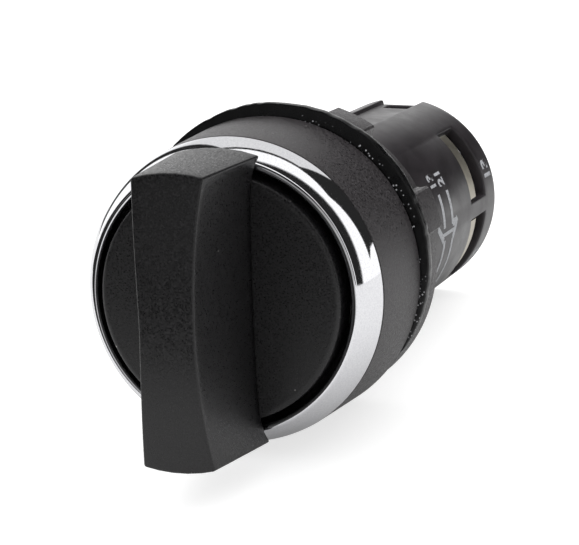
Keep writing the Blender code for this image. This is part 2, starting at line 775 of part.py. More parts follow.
def moving_rivet_span(is_open):
    """Open contacts stand the plunger's travel apart at rest, and closed contacts meet."""
    front, rear = fixed_rivet_span(is_open)
    if is_open:
        meet = front - CONTACT_GAP - PLUNGER_TRAVEL
        return meet - RIVET_HEIGHT, meet
    return rear + CONTACT_GAP, rear + CONTACT_GAP + RIVET_HEIGHT


def bridge_span(is_open):
    front, rear = moving_rivet_span(is_open)
    if is_open:
        return front - GAP - BRIDGE_THICKNESS, front - GAP
    return rear + GAP, rear + GAP + BRIDGE_THICKNESS


def make_contacts(look_bridge, look_rivet, look_spring):
    """Bridges, their springs, and the silver rivets on bridges and terminals."""
    for kind, side, is_open in (("open", 1, True), ("closed", -1, False)):
        span = bridge_span(is_open)
        xs = sorted((side * (BRIDGE_X - BRIDGE_HALF_X), side * (BRIDGE_X + BRIDGE_HALF_X)))
        block(f"{kind}_bridge", xs, span, (-BRIDGE_HALF_Z, BRIDGE_HALF_Z), look_bridge)
        if is_open:
            ends = OPEN_SPRING_FRONT_Y + CONTACT_WIRE_R, span[0] - GAP
        else:
            ends = span[1] + GAP + CONTACT_WIRE_R, CLOSED_SPRING_REAR_Y - CONTACT_WIRE_R
        start, end = ((side * BRIDGE_X, y, 0) for y in ends)
        coil(f"{kind}_contact_spring", start, end, CONTACT_COIL_R, CONTACT_WIRE_R, CONTACT_TURNS, look_spring)
    for name, angle in TERMINALS.items():
        is_open = name in NORMALLY_OPEN
        x, _, z = polar(RIVET_CIRCLE_R, angle, 0) / MM
        rod(f"fixed_rivet_{name}", x, z, plain_rod(RIVET_R, *fixed_rivet_span(is_open)), look_rivet)
        rod(f"moving_rivet_{name}", x, z, plain_rod(RIVET_R, *moving_rivet_span(is_open)), look_rivet)


def make_return_spring(look):
    """Spring between the rear cover and the plunger."""
    start = (0, PLUNGER_END_Y + GAP + RETURN_WIRE_R, 0)
    end = (0, COVER_FRONT_Y - GAP - RETURN_WIRE_R, 0)
    coil("return_spring", start, end, RETURN_COIL_R, RETURN_WIRE_R, RETURN_TURNS, look)


def main():
    clear_scene()
    knob_black = finish("knob_black", (0.012, 0.012, 0.013), 0.55)
    collar_black = finish("collar_black", (0.035, 0.033, 0.032), 0.6)
    housing_black = finish("housing_black", (0.03, 0.03, 0.032), 0.42)
    inner_plastic = finish("inner_plastic", (0.55, 0.53, 0.48), 0.5)
    rubber = finish("rubber", (0.008, 0.008, 0.009), 0.35)
    chrome = finish("chrome", (0.9, 0.9, 0.92), 0.06, 1.0)
    steel = finish("steel", (0.6, 0.6, 0.6), 0.3, 1.0)
    brass = finish("brass", (0.76, 0.66, 0.45), 0.35, 1.0)
    copper = finish("copper", (0.75, 0.42, 0.28), 0.35, 1.0)
    silver = finish("silver", (0.88, 0.87, 0.84), 0.25, 1.0)

    make_knob(knob_black)
    make_drive_shaft(steel)
    make_retaining_clip(steel)
    make_bezel_ring(chrome)
    make_front_housing(collar_black)
    make_shaft_seal(rubber)
    make_panel_gasket(rubber)
    make_fixing_nut(housing_black)
    make_nut_washer(steel)
    make_cam(inner_plastic)
    make_detent(steel, steel)
    make_contact_housing(housing_black)
    make_rear_cover(housing_black)
    for name, angle in TERMINALS.items():
        make_terminal(name, angle, brass)
        make_clamp_plate(name, angle, steel)
        make_terminal_screw(name, angle, steel)
    make_plunger(inner_plastic)
    make_contacts(copper, silver, steel)
    make_return_spring(steel)


main()
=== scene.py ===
"""Looks of the panel selector switch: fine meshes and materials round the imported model.

Sizes are in millimetres and MM turns them into metres. +Y runs along the switch's axis from the lever
to the terminals, +Z is up, and angles are in degrees clockwise from 12 o'clock seen from the front.
"""

import json
import math

import bmesh
import bpy
from mathutils import Matrix, Vector, noise

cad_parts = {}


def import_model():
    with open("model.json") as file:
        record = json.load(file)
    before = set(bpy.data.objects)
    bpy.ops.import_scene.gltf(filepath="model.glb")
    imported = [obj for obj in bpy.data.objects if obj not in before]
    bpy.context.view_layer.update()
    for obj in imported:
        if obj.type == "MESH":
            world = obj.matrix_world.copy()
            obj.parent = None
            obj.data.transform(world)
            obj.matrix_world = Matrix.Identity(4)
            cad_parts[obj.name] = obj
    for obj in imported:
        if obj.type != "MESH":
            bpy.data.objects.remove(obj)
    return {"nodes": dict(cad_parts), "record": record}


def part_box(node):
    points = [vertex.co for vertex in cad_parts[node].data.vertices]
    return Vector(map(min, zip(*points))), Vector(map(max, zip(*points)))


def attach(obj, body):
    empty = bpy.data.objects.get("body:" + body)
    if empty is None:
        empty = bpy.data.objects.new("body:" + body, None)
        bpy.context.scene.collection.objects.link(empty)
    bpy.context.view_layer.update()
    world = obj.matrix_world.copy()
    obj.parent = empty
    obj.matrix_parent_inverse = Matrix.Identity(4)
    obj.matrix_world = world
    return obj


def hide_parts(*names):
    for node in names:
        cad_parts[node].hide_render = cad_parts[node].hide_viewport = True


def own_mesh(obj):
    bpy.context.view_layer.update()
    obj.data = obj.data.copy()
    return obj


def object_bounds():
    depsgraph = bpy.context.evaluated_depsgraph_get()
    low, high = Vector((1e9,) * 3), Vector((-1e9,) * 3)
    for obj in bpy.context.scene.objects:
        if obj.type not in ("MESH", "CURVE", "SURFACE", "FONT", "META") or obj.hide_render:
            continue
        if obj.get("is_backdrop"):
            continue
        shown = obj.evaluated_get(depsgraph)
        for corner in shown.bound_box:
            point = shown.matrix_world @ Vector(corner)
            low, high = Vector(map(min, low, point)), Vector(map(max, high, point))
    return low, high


MM = 0.001
SHARP = math.radians(32)

# Camera, as the photograph was taken
CAMERA_AT = (75.22, -213.29, 43.35)
CAMERA_RIGHT = (0.9463, 0.3216, -0.0343)
CAMERA_UP = (-0.0298, 0.1923, 0.9809)
FRAME_WIDTH = 579
FOCAL_PIXELS = 2350.35
SENSOR = 36.0

# Knob
LEVER_FRONT_Y = -29.68
LEVER_CROWN = 1.82
LEVER_FRONT_HALF = 2.62
LEVER_LEFT_FLARE = 0.87
LEVER_LEFT_POWER = 1.5
LEVER_RIGHT_FLARE = 0.62
LEVER_RIGHT_POWER = 2.4
LEVER_BASE_HALF = 3.3
LEVER_BASE_FLARE = 0.25
LEVER_LEFT_CORNER = 0.3
LEVER_RIGHT_CORNER = 0.85
LEVER_CORNER_POWER = 10
LEVER_SCOOP = 0.45
LEVER_FRONT_REACH = 13.4
LEVER_BASE_REACH = 14.0
LEVER_BASE_Y = -16.3
LEVER_EDGE = 0.24
DISC_Y = -16.8
DISC_R = 11.66
DISC_REAR_Y = -13.4
HUB_R = 5.0
GROOVE_WIDTH = 0.13
GROOVE_DEPTH = 0.22

# Bezel ring, collar and barrel
SEAT_Y = -12.5
SEAT_GAP = 0.12
BEZEL_R = 14.5
BEZEL_DEPTH = 3.28
BEZEL_SLOPE = 0.25
BEZEL_CURVE = 0.06
BEZEL_BORE_R = 12.38
BEZEL_NOSE = 0.37
BEZEL_FRONT_Y = -15.95
BEZEL_SKIRT_Y = -8.5
BEZEL_SKIRT_R = 13.4
COLLAR_REAR_R = 14.95
COLLAR_REAR_Y = -1.8
THREAD_R = 11.0
THREAD_ROOT_R = 10.45
THREAD_PITCH = 1.5
THREAD_START_Y = 0.2
BARREL_END_Y = 13.7
BARREL_BORE_R = 9.3
KEYWAY_CENTRE = 1.75
KEYWAY_HALF = 12.25
KEYWAY_FLOOR_R = 10.25

# Gasket, washer and nut
GASKET_R = 15.2
GASKET_BORE_R = 12.45
GASKET_SHIFT = 1.1
GASKET_SHIFT_ANGLE = 28
NUT_FRONT_Y = 0.3
NUT_REAR_Y = 5.3
NUT_R = 14.7
NUT_LOBE = 1.05
NUT_LOBE_ANGLES = (26, 70, 206, 250)
NUT_LOBE_HALF = 9.0
NUT_LOBE_SIDE = 1.6
NUT_BORE_R = 11.2

# Contact housing
BODY_R = 11.0
BODY_FRONT_Y = 14.0
BODY_REAR_Y = 43.8
BODY_BORE_R = 9.7
BODY_THICK_BORE_R = 8.5
BODY_THICK_HALF = 15
WINDOW_FRONT_Y = 33.3
WINDOW_REAR_Y = 39.5
WINDOW_HALF = 22.5
LATCH_FRONT_Y = 40.6
LATCH_REAR_Y = 42.8
LATCH_HALF = 8
COVER_FRONT_Y = 42.2
COVER_REAR_Y = 43.4
COVER_R = 9.4
ACCESS_HOLE_R = 2.6

# Terminals
TERMINALS = {"13": 63.5, "14": 118.5, "22": 241.5, "21": 296.5}
SCREW_CIRCLE_R = 7.0
BLOCK_FRONT_Y = 33.6
BLOCK_REAR_Y = 36.4
BLOCK_HOLE_R = 1.6
SCREW_HEAD_R = 2.3
SCREW_HEAD_Y = 40.7
SCREW_TOP_Y = 42.3

# Printing
INK_HEIGHT = 0.02
INK_GAP = 0.002

# Spring between the plunger and the rear cover
SPRING_WIRE_R = 0.28
SPRING_TURNS = 6
SPRING_STEPS = 40
WIRE_SIDES = 10

# Stage
FLOOR_GLOW = 0.15
FLOOR_SHOWN = 0.55
FLOOR_GAP = 0.05
FLOOR_FRONT_Y = -75
FLOOR_BEND_Y = 75
FLOOR_REAR_Y = 300
FLOOR_HALF = 260
DIFFUSE_SKY = 0.85
DIFFUSE_FRONT = 1.9
WHITE = 1.15
BACKDROP = 0.78
BACKDROP_LOW = 1.2
SHOWN_WHITE = 1.05


# ---------------------------------------------------------------- mesh helpers


def polar(radius, angle, y):
    turn = math.radians(angle)
    return Vector((radius * math.sin(turn), y, radius * math.cos(turn))) * MM


def away(angle, centre):
    return abs((angle - centre + 180) % 360 - 180)


def smooth(share):
    share = min(1, max(0, share))
    return share * share * (3 - 2 * share)


def rounded(corners, points=4):
    """A closed outline with its corners rounded. A corner is (r, y) or (r, y, how far the round reaches)."""
    outline = []
    for index, corner in enumerate(corners):
        here = Vector(corner[:2])
        if len(corner) == 2:
            outline.append(tuple(here))
            continue
        before = Vector(corners[index - 1][:2]) - here
        after = Vector(corners[(index + 1) % len(corners)][:2]) - here
        start = here + before.normalized() * corner[2]
        end = here + after.normalized() * corner[2]
        for step in range(points + 1):
            share = step / points
            outline.append(tuple(start.lerp(here, share).lerp(here.lerp(end, share), share)))
    return outline


def spread(edges, step):
    """Values from the first edge to the last, with every edge among them and about one step apart."""
    values = []
    for start, end in zip(edges, edges[1:]):
        count = max(1, round((end - start) / step))
        values += [start + (end - start) * index / count for index in range(count)]
    return values + [edges[-1]]


def mesh_object(name, mesh):
    bmesh.ops.recalc_face_normals(mesh, faces=mesh.faces)
    data = bpy.data.meshes.new(name)
    mesh.to_mesh(data)
    mesh.free()
    made = bpy.data.objects.new(name, data)
    bpy.context.scene.collection.objects.link(made)
    return made


def lathe(name, section, angles=None):
    """A body of revolution. section is a closed outline, or gives one for each angle."""
    mesh = bmesh.new()
    angles = angles or [360 * step / 240 for step in range(240)]
    rings = []
    for angle in angles:
        outline = section(angle) if callable(section) else section
        rings.append([mesh.verts.new(polar(radius, angle, y)) for radius, y in outline])
    for here, there in zip(rings, rings[1:] + rings[:1]):
        for index in range(len(here)):
            if here[index].co.xz.length > 1e-9 or here[index - 1].co.xz.length > 1e-9:
                mesh.faces.new((here[index], here[index - 1], there[index - 1], there[index]))
    bmesh.ops.remove_doubles(mesh, verts=mesh.verts, dist=1e-7)
    return mesh_object(name, mesh)


def missing(mine, other):
    """The parts of one radial span that the neighbouring cell doesn't cover."""
    if not other:
        return [mine]
    parts = [(mine[0], min(mine[1], other[0])), (max(mine[0], other[1]), mine[1])]
    return [part for part in parts if part[1] - part[0] > 1e-6]


def shell(name, angles, ys, wall):
    """A round wall in cells. wall gives a cell's inner and outer radius, or None where it is open."""
    mesh = bmesh.new()
    count, rows = len(angles) - 1, len(ys) - 1
    verts = {}

    def vert(column, row, radius):
        key = (column % count, row, round(radius, 4))
        if key not in verts:
            verts[key] = mesh.verts.new(polar(radius, angles[column % count], ys[row]))
        return verts[key]

    cells = {}
    for column in range(count):
        for row in range(rows):
            middle = (angles[column] + angles[column + 1]) / 2
            cells[column, row] = wall(middle, (ys[row] + ys[row + 1]) / 2)
    for (column, row), span in cells.items():
        if not span:
            continue
        corners = [(column, row), (column + 1, row), (column + 1, row + 1), (column, row + 1)]
        for radius in span:
            mesh.faces.new([vert(*corner, radius) for corner in corners])
        sides = ((0, -1, 0, 1), (1, 0, 1, 2), (0, 1, 2, 3), (-1, 0, 3, 0))
        for step_column, step_row, first, second in sides:
            other = cells.get(((column + step_column) % count, row + step_row))
            for low, high in missing(span, other):
                edge = [vert(*corners[first], low), vert(*corners[first], high)]
                edge += [vert(*corners[second], high), vert(*corners[second], low)]
                mesh.faces.new(edge)
    return mesh_object(name, mesh)


def box_grid(name, cuts, place_at):
    """A box divided evenly along its three directions, each point put where place_at says."""
    mesh = bmesh.new()
    bmesh.ops.create_cube(mesh, size=2)
    for axis in range(3):
        along = [e for e in mesh.edges if abs(e.verts[0].co[axis] - e.verts[1].co[axis]) > 1]
        bmesh.ops.subdivide_edges(mesh, edges=along, cuts=cuts[axis] - 1, use_grid_fill=True)
    for vert in mesh.verts:
        vert.co = place_at(*vert.co) * MM
    return mesh_object(name, mesh)


def sector(name, radii, ys, centre, half, steps=24):
    """An arched block between two radii, two places along the axis and two angles."""

    def place_at(across, along, outward):
        radius = radii[0] + (radii[1] - radii[0]) * (outward + 1) / 2
        return polar(radius, centre + half * across, ys[0] + (ys[1] - ys[0]) * (along + 1) / 2) / MM

    return box_grid(name, (steps, 1, 1), place_at)


def block(name, low, high):
    middle = (Vector(low) + Vector(high)) / 2
    half = (Vector(high) - Vector(low)) / 2
    return box_grid(name, (1, 1, 1), lambda x, y, z: middle + Vector((x * half.x, y * half.y, z * half.z)))


def rod(name, centre, outline, steps=48):
    """A body of revolution on an axis of its own, parallel to the switch's."""
    made = lathe(name, outline, [360 * step / steps for step in range(steps)])
    made.data.transform(Matrix.Translation(centre))
    return made


def settle(piece):
    """Turns a piece and its modifiers into one plain mesh."""
    bpy.context.view_layer.update()
    graph = bpy.context.evaluated_depsgraph_get()
    data = bpy.data.meshes.new_from_object(piece.evaluated_get(graph))
    piece.modifiers.clear()
    piece.data = data


def carve(piece, tools, operation="DIFFERENCE"):
    """Cuts the tools out of a piece, or joins them to it, and removes them."""
    for tool in tools:
        step = piece.modifiers.new(tool.name, "BOOLEAN")
        step.operation = operation
        step.object = tool
    settle(piece)
    for tool in tools:
        bpy.data.objects.remove(tool)


def soften(piece, width, segments=3, angle=40):
    """Rounds the piece's sharp edges."""
    step = piece.modifiers.new("soft_edges", "BEVEL")
    step.width = width * MM
    step.segments = segments
    step.limit_method = "ANGLE"
    step.angle_limit = math.radians(angle)
    settle(piece)


def show(piece, body, slot, look, *nodes, sharp=SHARP):
    """Shades a finished piece, gives it its material, ties it to its body, and hides the CAD nodes it stands
    for.
    """
    piece.data.shade_smooth()
    piece.data.set_sharp_from_angle(angle=sharp)
    piece.data.materials.clear()
    piece.data.materials.append(look)
    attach(piece, body)
    if nodes:
        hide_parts(*nodes)
    return piece


# ---------------------------------------------------------------- materials


class Look:
    """A Principled material with helpers for the nodes that feed it."""

    def __init__(self, name, roughness, metallic=0.0, specular=0.5):
        self.made = bpy.data.materials.new(name)
        self.made.use_nodes = True
        self.tree = self.made.node_tree
        self.shader = self.tree.nodes["Principled BSDF"]
        self.shader.inputs["Roughness"].default_value = roughness
        self.shader.inputs["Metallic"].default_value = metallic
        self.shader.inputs["Specular IOR Level"].default_value = specular
        self.coords = self.node("ShaderNodeTexCoord").outputs["Object"]

    def node(self, kind, links=None, **settings):
        made = self.tree.nodes.new(kind)
        for key, value in settings.items():
            setattr(made, key, value)
        for key, value in (links or {}).items():
            if isinstance(value, bpy.types.NodeSocket):
                self.tree.links.new(value, made.inputs[key])
            else:
                made.inputs[key].default_value = value
        return made

    def stretched(self, scale):
        links = {"Vector": self.coords, "Scale": scale}
        return self.node("ShaderNodeMapping", links).outputs["Vector"]

    def noise(self, size, detail=2.0, rough=0.5, coords=None):
        """Noise whose blobs are about size millimetres across."""
        links = {"Vector": coords or self.coords, "Scale": 1 / (size * MM), "Detail": detail}
        links["Roughness"] = rough
        return self.node("ShaderNodeTexNoise", links).outputs["Fac"]

    def level(self, value, start, end, low, high):
        links = {"Value": value, "From Min": start, "From Max": end, "To Min": low, "To Max": high}
        return self.node("ShaderNodeMapRange", links).outputs["Result"]

    def math(self, operation, first, second):
        return self.node("ShaderNodeMath", {0: first, 1: second}, operation=operation).outputs[0]

    def blend(self, share, first, second):
        made = self.node("ShaderNodeMix", data_type="RGBA")
        for socket, value in ((0, share), (6, first), (7, second)):
            if isinstance(value, bpy.types.NodeSocket):
                self.tree.links.new(value, made.inputs[socket])
            else:
                made.inputs[socket].default_value = value if socket == 0 else (*value, 1)
        return made.outputs[2]

    def specks(self, spacing, size, share):
        """Scattered dots: 1 inside a dot, 0 outside."""
        links = {"Vector": self.coords, "Scale": 1 / (spacing * MM)}
        cells = self.node("ShaderNodeTexVoronoi", links)
        dot = self.level(cells.outputs["Distance"], size / spacing, 0.6 * size / spacing, 0, 1)
        chosen = self.node("ShaderNodeSeparateColor", {"Color": cells.outputs["Color"]}).outputs[0]
        return self.math("MULTIPLY", dot, self.math("LESS_THAN", chosen, share))

    def bump(self, height, depth, normal=None):
        """Relief whose full height is depth millimetres."""
        links = {"Height": height, "Distance": depth * MM, "Strength": 1.0}
        if normal:
            links["Normal"] = normal
        return self.node("ShaderNodeBump", links).outputs["Normal"]

    def paint(self, colour=None, roughness=None, normal=None):
        for key, value in (("Base Color", colour), ("Roughness", roughness), ("Normal", normal)):
            if value:
                self.tree.links.new(value, self.shader.inputs[key])
        return self.made


def knob_plastic():
    """Black moulded plastic with a fine eroded grain and a few specks of dust."""
    look = Look("knob_plastic", 0.42)
    grain = look.noise(0.17, 3, 0.65)
    pits = look.noise(0.3, 3, 0.6)
    base = look.blend(look.level(grain, 0.48, 0.72, 0, 1), (0.005, 0.0048, 0.0053), (0.02, 0.0188, 0.0208))
    dust = look.specks(2.2, 0.09, 0.35)
    colour = look.blend(dust, base, (0.3, 0.29, 0.28))
    roughness = look.level(grain, 0.35, 0.65, 0.22, 0.56)
    return look.paint(colour, roughness, look.bump(pits, 0.014, look.bump(grain, 0.018)))


def eroded_plastic(name):
    """Warm dark-grey plastic with an even eroded texture."""
    look = Look(name, 0.42)
    grain = look.noise(0.23, 3, 0.7)
    fine = look.noise(0.1, 2, 0.5)
    base = look.blend(look.level(grain, 0.38, 0.66, 0, 1), (0.0125, 0.011, 0.012), (0.0515, 0.047, 0.0495))
    dust = look.specks(3.5, 0.08, 0.3)
    relief = look.bump(fine, 0.012, look.bump(grain, 0.045))
    colour = look.blend(dust, base, (0.25, 0.24, 0.23))
    return look.paint(colour, look.level(grain, 0.36, 0.64, 0.27, 0.58), relief)


def housing_plastic():
    """Satin dark-grey plastic, a little uneven as moulded."""
    look = Look("housing_plastic", 0.34)
    cloud = look.noise(3, 3, 0.6)
    grain = look.noise(0.16, 3, 0.6)
    base = look.blend(look.level(cloud, 0.3, 0.7, 0, 1), (0.0135, 0.0115, 0.013), (0.0255, 0.0215, 0.0245))
    relief = look.bump(grain, 0.008, look.bump(cloud, 0.01))
    return look.paint(base, look.level(cloud, 0.3, 0.7, 0.3, 0.42), relief)


def inner_plastic():
    """Cream moulded plastic of the moving parts inside."""
    look = Look("inner_plastic_fine", 0.5)
    cloud = look.noise(2, 3)
    base = look.blend(cloud, (0.5, 0.47, 0.41), (0.62, 0.59, 0.53))
    return look.paint(base, look.level(cloud, 0.3, 0.7, 0.42, 0.55), look.bump(look.noise(0.2), 0.004))


def rubber():
    """Black rubber with painted highlights: small bright dots that stand for glints of light on its right
    side, within the collar's radius.
    """
    look = Look("gasket_rubber", 0.32, specular=0.35)
    creases = look.noise(0.9, 4, 0.6)
    # painted highlights: bright dots in the base colour stand in for glints of light on the rubber's edge
    glint_dots = look.specks(0.34, 0.1, 0.75)
    x, _, z = look.node("ShaderNodeSeparateXYZ", {"Vector": look.coords}).outputs
    square = look.math("ADD", look.math("MULTIPLY", x, x), look.math("MULTIPLY", z, z))
    inner = look.level(look.math("SQRT", square, 0.0), 15.45 * MM, 15.25 * MM, 0, 1)
    # where the painted highlights go: near the collar's radius, in patches, and only on the right side
    glint_mask = look.math("MULTIPLY", inner, look.level(look.noise(2.2, 2), 0.44, 0.5, 0, 1))
    glint_mask = look.math("MULTIPLY", glint_mask, look.level(x, 1.0 * MM, 5.0 * MM, 0, 1))
    base = look.blend(creases, (0.0012, 0.0012, 0.0015), (0.004, 0.004, 0.0045))
    colour = look.blend(look.math("MULTIPLY", glint_dots, glint_mask), base, (0.42, 0.42, 0.44))
    return look.paint(colour, look.level(creases, 0.35, 0.65, 0.24, 0.42), look.bump(creases, 0.03))


def chrome():
    """Bright plating on plastic: nearly a mirror, softly wavy, with a fine haze."""
    look = Look("chrome_plating", 0.05, 1.0)
    waves = look.noise(5, 1)
    haze = look.noise(0.15, 3, 0.7)
    scratches = look.noise(0.05, 2, 0.5, look.stretched((0.12, 1.0, 1.0)))
    base = look.blend(look.level(haze, 0.35, 0.65, 0, 1), (0.8, 0.8, 0.83), (0.94, 0.94, 0.96))
    relief = look.bump(scratches, 0.0004, look.bump(waves, 0.004))
    return look.paint(base, look.level(scratches, 0.5, 0.8, 0.03, 0.12), relief)


def metal(name, dark, light, roughness, stroke=(1.0, 8.0, 1.0), depth=0.003):
    """Metal with fine marks along one direction and a slightly uneven tone."""
    look = Look(name, roughness, 1.0)
    marks = look.noise(0.4, 3, 0.6, look.stretched(stroke))
    cloud = look.noise(1.5, 3, 0.6)
    spread_of = look.level(marks, 0.3, 0.7, roughness - 0.06, roughness + 0.1)
    return look.paint(look.blend(cloud, dark, light), spread_of, look.bump(marks, depth))


def ink():
    """Pale printing ink, thin and a little broken."""
    look = Look("printing_ink", 0.55)
    breaks = look.noise(0.25, 3, 0.7)
    base = look.blend(look.level(breaks, 0.35, 0.6, 0, 1), (0.2, 0.205, 0.21), (0.42, 0.43, 0.455))
    return look.paint(base, look.level(breaks, 0.3, 0.7, 0.45, 0.65), look.bump(breaks, 0.004))


def floor_paper():
    """White sheet, shown to the camera a little brighter than it lights the switch."""
    look = Look("floor_paper", 0.85, specular=0.1)
    fibre = look.noise(1.2, 3, 0.6)
    look.shader.inputs["Emission Color"].default_value = (1, 1, 1, 1)
    seen = look.node("ShaderNodeLightPath").outputs["Is Camera Ray"]
    glow = look.level(seen, 0, 1, FLOOR_GLOW, FLOOR_GLOW + FLOOR_SHOWN)
    look.tree.links.new(glow, look.shader.inputs["Emission Strength"])
    return look.paint(look.blend(fibre, (0.44, 0.44, 0.44), (0.46, 0.46, 0.46)), None, look.bump(fibre, 0.01))


# ---------------------------------------------------------------- pieces


def lever_point(across, along_depth, along):
    """A point of the lever: across from side to side, along_depth from front to base, along its length."""
    depth = (along_depth + 1) / 2
    share = abs(along)
    flare, corner = LEVER_RIGHT_FLARE * share**LEVER_RIGHT_POWER, LEVER_RIGHT_CORNER
    if across < 0:
        flare, corner = LEVER_LEFT_FLARE * share**LEVER_LEFT_POWER, LEVER_LEFT_CORNER
    front_half = LEVER_FRONT_HALF + flare
    base_half = LEVER_BASE_HALF + LEVER_BASE_FLARE * share**2 + corner * share**LEVER_CORNER_POWER
    scoop = LEVER_SCOOP * (1 - share**2) * 4 * depth * (1 - depth)
    x = across * (front_half + (base_half - front_half) * depth - scoop)
    front_y = LEVER_FRONT_Y + LEVER_CROWN * share**2
    y = front_y + (LEVER_BASE_Y - front_y) * depth
    reach = LEVER_FRONT_REACH + (LEVER_BASE_REACH - LEVER_FRONT_REACH) * depth
    return Vector((x, y, along * math.sqrt(reach**2 - x**2)))


def groove_point(across, along_depth, along):
    """The narrow groove round the lever's foot: the foot's outline, a little larger and shallow."""
    foot = lever_point(across, 1, along)
    grown = foot + Vector((math.copysign(GROOVE_WIDTH, across) if abs(across) == 1 else 0, 0, 0))
    grown.y = DISC_Y + GROOVE_DEPTH if along_depth > 0 else DISC_Y - 1
    return grown


def make_knob(look):
    disc = lathe(
        "knob_disc",
        rounded(
            [
                (0, DISC_Y),
                (DISC_R, DISC_Y, 0.58),
                (DISC_R, DISC_REAR_Y, 0.2),
                (HUB_R, DISC_REAR_Y),
                (HUB_R, -2.5, 0.2),
                (0, -2.5),
            ]
        ),
    )
    carve(disc, [box_grid("groove_form", (2, 1, 28), groove_point)])
    show(disc, "knob", "knob_black", look, "knob")
    lever = box_grid("knob_lever", (5, 12, 26), lever_point)
    soften(lever, LEVER_EDGE, 4)
    show(lever, "knob", "knob_black", look)


def make_bezel(look):
    """A cone that curves in to a round nose, with a skirt that sits in the collar."""
    rear_y = SEAT_Y - SEAT_GAP
    outline = [(BEZEL_SKIRT_R, rear_y)]
    for step in range(31):
        depth = SEAT_GAP + (BEZEL_DEPTH - SEAT_GAP) * step / 30
        outline.append((BEZEL_R - BEZEL_SLOPE * depth - BEZEL_CURVE * depth**2, SEAT_Y - depth))
    for degrees in range(-45, 91, 9):
        turn = math.radians(degrees)
        radius = BEZEL_BORE_R + BEZEL_NOSE * (1 - math.sin(turn))
        outline.append((radius, BEZEL_FRONT_Y + BEZEL_NOSE * (1 - math.cos(turn))))
    outline += [(BEZEL_BORE_R, BEZEL_SKIRT_Y), (BEZEL_SKIRT_R, BEZEL_SKIRT_Y)]
    show(lathe("bezel", outline), "housing", "chrome", look, "bezel_ring", sharp=math.radians(50))


def keyway_floor(angle):
    """Distance from the axis to the locating groove's flat floor."""
    return KEYWAY_FLOOR_R / math.cos(math.radians(away(angle, KEYWAY_CENTRE)))


def around_keyway(step):
    """Angles round the axis, doubled at the groove's two walls."""
    start, end = KEYWAY_CENTRE - KEYWAY_HALF, KEYWAY_CENTRE + KEYWAY_HALF
    edges = [start + 0.05, end - 0.05, end + 0.05, start + 360 - 0.05]
    return spread(edges, step)


def make_front_housing(look):
    collar = lathe(
        "collar",
        rounded(
            [
                (13.7, SEAT_Y + SEAT_GAP),
                (BEZEL_R, SEAT_Y + SEAT_GAP, 0.1),
                (COLLAR_REAR_R, COLLAR_REAR_Y, 0.15),
                (10.4, COLLAR_REAR_Y),
                (10.4, -8.0),
                (13.7, -8.0),
            ]
        ),
    )
    show(collar, "housing", "collar_black", look, "front_housing")
    rows = spread([COLLAR_REAR_Y + 0.1, THREAD_START_Y, BARREL_END_Y - 0.6, BARREL_END_Y], THREAD_PITCH / 10)

    def section(angle):
        outline = []
        for y in rows:
            turn = (y - THREAD_START_Y) / THREAD_PITCH - angle / 360
            height = abs(2 * (turn % 1) - 1)
            run_in = smooth((y - THREAD_START_Y) / THREAD_PITCH)
            run_in *= smooth((BARREL_END_Y - 0.4 - y) / THREAD_PITCH)
            radius = THREAD_ROOT_R + (THREAD_R - THREAD_ROOT_R) * min(1, 1.25 * height) * run_in
            if away(angle, KEYWAY_CENTRE) < KEYWAY_HALF:
                radius = min(radius, keyway_floor(angle))
            outline.append((radius, y))
        return outline + [(BARREL_BORE_R, rows[-1]), (BARREL_BORE_R, rows[0])]

    barrel = lathe("threaded_barrel", section, around_keyway(2.5))
    show(barrel, "housing", "collar_black", look)


def make_gasket(look):
    """Loose rubber ring that hangs off centre, with a slightly ragged edge."""

    def section(angle):
        turn = math.radians(angle)
        around = Vector((math.cos(turn), math.sin(turn), 0))
        coarse = noise.noise(around * 4)
        fine = noise.noise(around * 17 + Vector((0, 0, 5)))
        edge = GASKET_R + 0.12 * coarse + 0.07 * fine
        lift = 0.06 * noise.noise(around * 11 + Vector((0, 0, 9)))
        return rounded(
            [
                (GASKET_BORE_R, COLLAR_REAR_Y + 0.3),
                (edge - 0.06 - abs(fine) * 0.1, COLLAR_REAR_Y + 0.36 + lift, 0.16),
                (edge, -0.75 + lift, 0.3),
                (edge - 0.1, -0.02, 0.2),
                (GASKET_BORE_R, -0.02),
            ],
            3,
        )

    gasket = lathe("gasket", section, spread([0, 360], 0.75)[:-1])
    gasket.data.transform(Matrix.Translation(polar(GASKET_SHIFT, GASKET_SHIFT_ANGLE, 0)))
    show(gasket, "housing", "rubber", look, "panel_gasket")


def nut_edge(angle):
    """Outer radius of the nut: round, with two pairs of flat-topped grips."""
    offset = min(away(angle, lobe) for lobe in NUT_LOBE_ANGLES)
    return NUT_R + NUT_LOBE * smooth((NUT_LOBE_HALF - offset) / NUT_LOBE_SIDE)


def make_nut(look):
    def section(angle):
        edge = nut_edge(angle)
        return rounded(
            [
                (14.0, NUT_FRONT_Y),
                (edge, NUT_FRONT_Y, 0.18),
                (edge, NUT_REAR_Y, 0.25),
                (13.6, NUT_REAR_Y, 0.15),
                (13.4, NUT_REAR_Y - 0.5, 0.15),
                (NUT_BORE_R, NUT_REAR_Y - 0.5, 0.3),
                (NUT_BORE_R, 1.35),
                (14.0, 1.35),
            ],
            3,
        )

    show(lathe("nut", section, spread([0, 360], 0.75)[:-1]), "nut", "housing_black", look, "fixing_nut")


